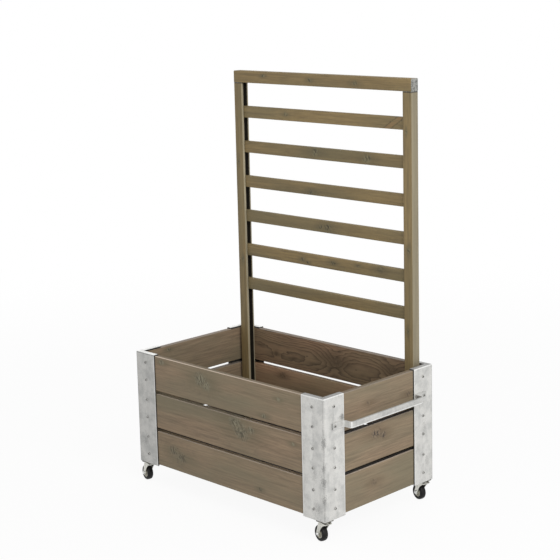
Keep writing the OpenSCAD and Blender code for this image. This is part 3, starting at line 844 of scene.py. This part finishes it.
for number, (node, look) in enumerate(boardLooks.items()):
    axes = longBoard if node.startswith(("front", "rear")) else endBoard
    tone = {"rear": shadyTone, "right": sunnyTone}.get(node.split("_")[0], stainedTone)
    makeTimber(node, axes, tone, firstSeed["board"] + number, look)
for number, node in enumerate(("bearer_front", "bearer_rear")):
    makeTimber(node, longBoard, shadedFloorTone, firstSeed["bearer"] + number)
for number in range(1, 7):
    node = f"floor_slat_{number}"
    low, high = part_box(node)
    chance = random.Random(number)
    spots = [
        (chance.uniform(-180, 180), chance.uniform(low.x, high.x) / mm, chance.uniform(4, 9))
        for _ in range(2)
    ]
    makeTimber(node, floorBoard, shadedFloorTone, firstSeed["floorSlat"] + number, {"knots": spots})
print("box boards and floor made")


def grooveOf(node, inner):  # inner is the side of the post, left or right, that it opens to
    post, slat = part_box(node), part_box("trellis_slat_1")
    middle = (post[0] + post[1]) / 2
    play = slatPlay["across"]
    reach = (slat[1].x if inner < 0 else -slat[0].x) + slatPlay["end"]
    bottom = inner * (abs(middle.x) - reach)
    return inner, slat[0].y - play - middle.y, slat[1].y + play - middle.y, bottom


def postOutline(node, groove):
    low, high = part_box(node)
    half = (high - low) / 2
    inner, front, back, bottom = groove
    ease, lip, nook = (timberCut[key] for key in ("arris", "grooveLip", "grooveCorner"))
    face = inner * half.x
    return easedOutline([
        (-face, -half.y, ease), (face, -half.y, ease), (face, front, lip), (bottom, front, nook),
        (bottom, back, nook), (face, back, lip), (face, half.y, ease), (-face, half.y, ease),
    ][::inner])


for number, (node, look) in enumerate(postLooks.items()):
    groove = grooveOf(node, 1 if node.endswith("left") else -1)
    look = {**look, "groove": groove}
    makeTimber(node, upright, oliveTone, firstSeed["post"] + number, look, postOutline(node, groove))
for number, (node, look) in enumerate(slatLooks.items()):
    look = {"knotDepth": slatKnotDepth, **look}
    makeTimber(node, longBoard, oliveTone, firstSeed["slat"] + number, look)
print("trellis made")


# Corner steel and handle. A shade darkens all the zinc of a corner or the handle, partly as painted
# shade.
# A corner's fold names the colour on the bend under its top: the bright colour is a painted highlight,
# the dross colour a line of painted shade. Its flange says how light its top is painted, as painted light
# or painted shade. Its marks are dross, each with its place, half width and half height in mm, and its
# strength.

cornerLooks = {
    "front_right": {
        "shade": 0.94, "fold": "bright", "flange": 0.42,
        "marks": [
            (424, -253, 322, 9, 20, 0.8), (424, -253, 240, 8, 18, 0.75), (423, -253, 196, 11, 20, 0.85),
            (424, -253, 136, 9, 20, 0.8), (400, -254, 112, 15, 18, 0.5), (384, -254, 215, 10, 22, 0.3),
            (427, -172, 382, 9, 8, 0.9),
        ]},
    "front_left": {
        "shade": 0.74, "fold": "dross", "flange": 1.1,
        "marks": [(-393, -252, 150, 13, 22, 0.6), (-400, -252, 330, 12, 16, 0.3)]},
    "rear_right": {
        "shade": 0.93, "fold": "bright", "flange": 0.5,
        "marks": [(425, 214, 250, 9, 22, 0.4), (425, 226, 140, 10, 20, 0.35)]},
    "rear_left": {"shade": 0.93, "fold": "bright", "flange": 1.1},
}
handleLook = {
    "shade": 0.8,
    "edge": 0.6 * mm,
    "arm": 168.5 * mm,  # from the handle's middle to the outer side of its arms
    "innerShade": 0.5,  # how much darker the inner side is painted, as painted shade
    "foldShine": 0.6,  # how bright the painted highlight on the outer folds is
}

for corner in corners:
    node = "corner_bracket_" + corner
    steel = galvanisedFinish(camelName(node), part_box(node), cornerLooks[corner])
    standFor(node, softened(node, cornerSteel["edge"]), steel, "galvanised_steel")
steel = galvanisedFinish("handleStrap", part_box("handle"), handleLook)
standFor("handle", softened("handle", handleLook["edge"]), steel, "galvanised_steel", "handleStrap")
print("corner steel and handle made")


# Screws and rivets, set on the places of the CAD ones

def turnedMesh(name, rings, steps, closed=False):
    shape = bmesh.new()  # rings of (radius, height, lobes) about Z
    rows = []
    for radius, height, lobes in rings:
        row = []
        for step in range(steps):
            turn = step / steps * math.tau
            reach = radius * (1 + lobes * math.cos(6 * turn))
            row.append(shape.verts.new((reach * math.cos(turn), reach * math.sin(turn), height)))
        rows.append(row)
    pairs = list(zip(rows, rows[1:] + rows[:1])) if closed else list(zip(rows, rows[1:]))
    for lower, upper in pairs:
        for i in range(steps):
            j = (i + 1) % steps
            shape.faces.new((lower[i], lower[j], upper[j], upper[i]))
    if not closed:
        shape.faces.new(rows[0])
        shape.faces.new(rows[-1])
    bmesh.ops.recalc_face_normals(shape, faces=shape.faces)
    return meshOf(name, shape)


def islandsOf(shape):
    left = set(shape.verts)
    while left:
        stack = [next(iter(left))]
        island = set(stack)
        while stack:
            for edge in stack.pop().link_edges:
                for vert in edge.verts:
                    if vert not in island:
                        island.add(vert)
                        stack.append(vert)
        left -= island
        yield [vert.co.copy() for vert in island]


def fastenerPlaces(node):  # the top of each head, where it faces and how long it is
    shape = mergedCopy(node)
    places = []
    for points in islandsOf(shape):
        low = Vector([min(p[i] for p in points) for i in range(3)])
        high = Vector([max(p[i] for p in points) for i in range(3)])
        size = high - low
        axis = max(range(3), key=lambda i: size[i])
        middle = (low + high) / 2
        spread = {}
        for sign, level in ((1, high[axis]), (-1, low[axis])):
            tip = [p - middle for p in points if abs(p[axis] - level) < 0.3 * mm]
            for offset in tip:
                offset[axis] = 0
            spread[sign] = max(offset.length for offset in tip)
        sign = 1 if spread[1] >= spread[-1] else -1  # the head is the wider end
        facing = Vector([float(sign * (i == axis)) for i in range(3)])
        top = middle + facing * size[axis] / 2
        places.append((tuple(round(v, 6) for v in top), tuple(facing), size[axis]))
    shape.free()
    return sorted(places)


def placesMesh(places):
    mesh = bpy.data.meshes.new("places")
    mesh.from_pydata([top for top, _, _ in places], [], [])
    mesh.attributes.new("facing", "FLOAT_VECTOR", "POINT")
    mesh.attributes.new("reach", "FLOAT", "POINT")
    aims = [value for _, facing, _ in places for value in facing]
    mesh.attributes["facing"].data.foreach_set("vector", aims)
    mesh.attributes["reach"].data.foreach_set("value", [length for _, _, length in places])
    return mesh


def makeFastenerTree():
    graph, given = geometryTree("fasteners", (
        ("Geometry", "Geometry"), ("Head", "Object"), ("Shank", "Object"),
        ("Seed", "Int"), ("Finish", "Material"),
    ))
    facing, reach = (
        graph.node("GeometryNodeInputNamedAttribute", {"data_type": kind}, {"Name": name})
        for name, kind in (("facing", "FLOAT_VECTOR"), ("reach", "FLOAT"))
    )
    aimed = graph.node("FunctionNodeAlignRotationToVector", {"axis": "Z"}, {"Vector": facing})
    turns = {3: math.tau, "Seed": given["Seed"]}
    angle = graph.node("FunctionNodeRandomValue", {"data_type": "FLOAT"}, turns, 1)
    spin = graph.node("FunctionNodeAxisAngleToRotation", inputs={"Axis": (0, 0, 1), "Angle": angle})
    turn = graph.node("FunctionNodeRotateRotation", {"rotation_space": "LOCAL"}, {0: aimed, 1: spin})
    head = graph.node("GeometryNodeObjectInfo", inputs={"Object": given["Head"]}, output="Geometry")
    shank = graph.node("GeometryNodeObjectInfo", inputs={"Object": given["Shank"]}, output="Geometry")
    heads = graph.node("GeometryNodeInstanceOnPoints", inputs={
        "Points": given["Geometry"], "Instance": head, "Rotation": turn})
    stretch = graph.node("ShaderNodeCombineXYZ", inputs={0: 1.0, 1: 1.0, 2: reach})
    shanks = graph.node("GeometryNodeInstanceOnPoints", inputs={
        "Points": given["Geometry"], "Instance": shank, "Rotation": turn, "Scale": stretch})
    both = graph.node("GeometryNodeJoinGeometry")
    for part in (shanks, heads):
        graph.tree.links.new(part.socket, both.socket.node.inputs[0])
    return closeTree(graph, both, given["Finish"])


fastenerTree = makeFastenerTree()
fastenerSteps = {"head": 24, "shank": 12}
faceScrew = {  # radius, depth under the top and lobes of each ring
    "head": [
        (2.0, -2.0, 0), (4.6, -2.0, 0), (4.6, -1.55, 0), (4.3, -0.9, 0), (3.8, -0.4, 0), (3.2, -0.08, 0),
        (2.75, 0, 0.02), (2.5, -0.06, 0.13), (2.2, -1.5, 0.13), (0.6, -1.7, 0),
    ],
    "drive": 2.9,  # nothing but the drive's recess lies inside this radius
    "foot": -1.5,  # and the foot of the head below this depth
    "shank": 2.1,
}
flushScrew = {
    "head": [
        (1.7, -2.0, 0), (3.75, -0.12, 0), (3.6, 0, 0), (2.1, 0, 0.02), (1.9, -0.06, 0.13),
        (1.6, -1.2, 0.13), (0.4, -1.3, 0),
    ],
    "drive": 2.2,
    "foot": -1.9,
    "shank": 1.75,
}
rivetHead = {
    "head": [(4.3, -2.6, 0), (4.3, -2.2, 0), (3.9, -1.2, 0), (3.0, -0.4, 0), (1.6, -0.05, 0)],
    "drive": 0,
    "foot": -2.1,
    "shank": 2.5,
}


def markRecess(mesh, look):  # 1 where painted shade darkens a head
    shares = []
    for vert in mesh.vertices:
        x, y, depth = (value / mm for value in vert.co)
        inDrive = math.hypot(x, y) < look["drive"] and depth < -0.03
        shares.append(1.0 if inDrive or depth < look["foot"] else 0.0)
    mesh.attributes.new("recess", "FLOAT", "POINT").data.foreach_set("value", shares)


def makeFasteners(node, look, finish, seed, bothEnds=False):
    rings = [(radius * mm, depth * mm, lobes) for radius, depth, lobes in look["head"]]
    head = addObject("head", turnedMesh("head", rings, fastenerSteps["head"]))
    markRecess(head.data, look)
    radius = look["shank"] * mm  # the shank is a metre long here, and the tree shortens it
    rings = [(radius * 0.3, -1, 0), (radius * 0.95, -0.93, 0), (radius, -0.9, 0), (radius, -0.06, 0)]
    shank = addObject("shank", turnedMesh("shank", rings, fastenerSteps["shank"]))
    places = fastenerPlaces(node)
    if bothEnds:
        places += [
            (tuple(Vector(top) - Vector(facing) * length), tuple(-Vector(facing)), length)
            for top, facing, length in places
        ]
    values = {"Head": head, "Shank": shank, "Seed": seed, "Finish": finish}
    mesh = grown(fastenerTree, values, placesMesh(places))
    for part in (head, shank):
        bpy.data.objects.remove(part)
    smooth(mesh)
    standFor(node, mesh, finish, "zinc_steel")


screwZinc = zincFinish("screwZinc", "#b4b3ae", 0.3, recess=True)
makeFasteners("corner_screws", faceScrew, screwZinc, seed=5)
makeFasteners("floor_screws", flushScrew, screwZinc, seed=6)
makeFasteners("trellis_screws", flushScrew, screwZinc, seed=7)
makeFasteners("caster_rivets", rivetHead, screwZinc, seed=8, bothEnds=True)
print("screws and rivets made")


# Casters

casterZinc = zincFinish("casterZinc", "#d6d5cd", 0.24)
dullZinc = zincFinish("dullZinc", "#66635a", 0.42)
brightSteel = zincFinish("brightSteel", "#dcdcda", 0.16)
rubber = rubberFinish("tyreRubber")
hubPlastic = plasticFinish("hubPlastic")

tyreRings = [  # radius and distance from the wheel's middle, in mm
    (15, -8.6), (15.6, -9.5), (17, -10), (18.6, -9.9), (18.9, -9.5), (19.2, -9.9), (20.6, -9.8),
    (22.4, -9.0), (23.9, -7.6), (24.7, -5.6), (24.95, -3), (25, -0.5), (25, 0.5), (24.95, 3),
    (24.7, 5.6), (23.9, 7.6), (22.4, 9.0), (20.6, 9.8), (19.2, 9.9), (18.9, 9.5), (18.6, 9.9),
    (17, 10), (15.6, 9.5), (15, 8.6),
]
hubRings = [
    (3.05, -10.5), (5.5, -10.5), (6, -10.1), (6, -4.4), (6.8, -3.5), (10.8, -3.5), (11.8, -4.3),
    (12, -8.2), (12.5, -8.5), (14.8, -8.5), (15, -8.2), (15, 8.2), (14.8, 8.5), (12.5, 8.5),
    (12, 8.2), (11.8, 4.3), (10.8, 3.5), (6.8, 3.5), (6, 4.4), (6, 10.1), (5.5, 10.5), (3.05, 10.5),
]
wheelShape = {"steps": 72, "sharpAngle": 40}
casterParts = (  # each part's node, the rounding of its edges, finish and slot
    ("caster_plate_", 0.35 * mm, dullZinc, "zinc_steel"),
    ("caster_fork_", 0.4 * mm, casterZinc, "zinc_steel"),
    ("caster_axle_", 0.35 * mm, brightSteel, "bearing_steel"),
)
kingpinEdge = 0.35 * mm


def makeWheelPart(node, rings, joint, finish, slot):
    rings = [(radius * mm, offset * mm, 0) for radius, offset in rings]
    mesh = turnedMesh(node, rings, wheelShape["steps"], closed=True)
    axle = Vector(joint["axis"]).to_track_quat("Z", "Y").to_matrix().to_4x4()
    mesh.transform(Matrix.Translation(Vector(joint["pos_m"])) @ axle)
    smooth(mesh, wheelShape["sharpAngle"])
    standFor(node, mesh, finish, slot)


for corner in corners:
    roll = joints["roll_" + corner]
    makeWheelPart("wheel_tyre_" + corner, tyreRings, roll, rubber, "tyre_rubber")
    makeWheelPart("wheel_hub_" + corner, hubRings, roll, hubPlastic, "hub_plastic")
    for part, edge, finish, slot in casterParts:
        standFor(part + corner, softened(part + corner, edge), finish, slot)
standFor("caster_kingpins", softened("caster_kingpins", kingpinEdge), casterZinc, "zinc_steel")
balls = frame["nodes"]["swivel_balls"]
balls.data.materials.clear()
balls.data.materials.append(brightSteel)
print("casters made")


# Floor, background and light

plainWhite = (1, 1, 1, 1)
studio = {
    "floorSize": 30.0,
    "paper": paint("#ededed"),
    "glow": 0.93,  # how much of the floor's look is plain white
    "fade": (1.2, 4.0),  # between these distances the rest of it turns white
    "skyStrength": 0.60,
    "aim": (0, 0, 0.5),  # the lamps' target
}
lamps = {
    "keyLamp": {"place": (3.9, -1.2, 3.3), "size": 2.6, "power": 108.0},
    "fillLamp": {"place": (2.3, -2.4, 1.7), "size": 1.3, "power": 13.0},
}


def seenPlainly(graph):  # 1 for rays that see the background, straight or in a shine
    kinds = ("Is Camera Ray", "Is Glossy Ray", "Is Transmission Ray")
    rays = [graph.node("ShaderNodeLightPath", output=kind) for kind in kinds]
    total = rays[0] + rays[1] + rays[2]
    return total.maths("MINIMUM", total, 1.0)


def makeFloor():
    half = studio["floorSize"] / 2
    mesh = bpy.data.meshes.new("paperFloor")
    outline = [(-half, -half, 0), (half, -half, 0), (half, half, 0), (-half, half, 0)]
    mesh.from_pydata(outline, [], [(0, 1, 2, 3)])
    floor = addObject("paperFloor", mesh)
    look = Finish("paperFloor")
    x, y, _ = look.place()
    grain = look.noise(look.vector(x, y, 0.0), 400, 2)
    tone = look.shade(studio["paper"], 0.98 + grain * 0.04)
    paper = look.node("ShaderNodeBsdfDiffuse", inputs={"Color": tone})
    white = look.node("ShaderNodeEmission", inputs={"Color": plainWhite, "Strength": 1.0})
    faded = look.rise((x * x + y * y) ** 0.5, *studio["fade"])
    share = seenPlainly(look) * (studio["glow"] + faded * (1 - studio["glow"]))
    mixed = look.node("ShaderNodeMixShader", inputs={0: share, 1: paper, 2: white})
    look.node("ShaderNodeOutputMaterial", inputs={"Surface": mixed})
    mesh.materials.append(look.material)


def makeSky():
    world = bpy.data.worlds.new("studioSky")
    world.use_nodes = True
    bpy.context.scene.world = world
    sky = Graph(world.node_tree)
    dim = {"Color": plainWhite, "Strength": studio["skyStrength"]}
    lit = sky.node("ShaderNodeBackground", inputs=dim)
    white = sky.node("ShaderNodeBackground", inputs={"Color": plainWhite, "Strength": 1.0})
    mixed = sky.node("ShaderNodeMixShader", inputs={0: seenPlainly(sky), 1: lit, 2: white})
    sky.node("ShaderNodeOutputWorld", inputs={"Surface": mixed})


def makeLamp(name, place, size, power):
    data = bpy.data.lights.new(name, "AREA")
    data.energy = power
    data.size = size
    lamp = addObject(name, data)
    lamp.location = place
    aim = Vector(studio["aim"]) - Vector(place)
    lamp.rotation_euler = aim.to_track_quat("-Z", "Y").to_euler()


makeFloor()
makeSky()
for name, lamp in lamps.items():
    makeLamp(name, **lamp)
bpy.context.scene.view_settings.view_transform = "Standard"
print("studio lit")
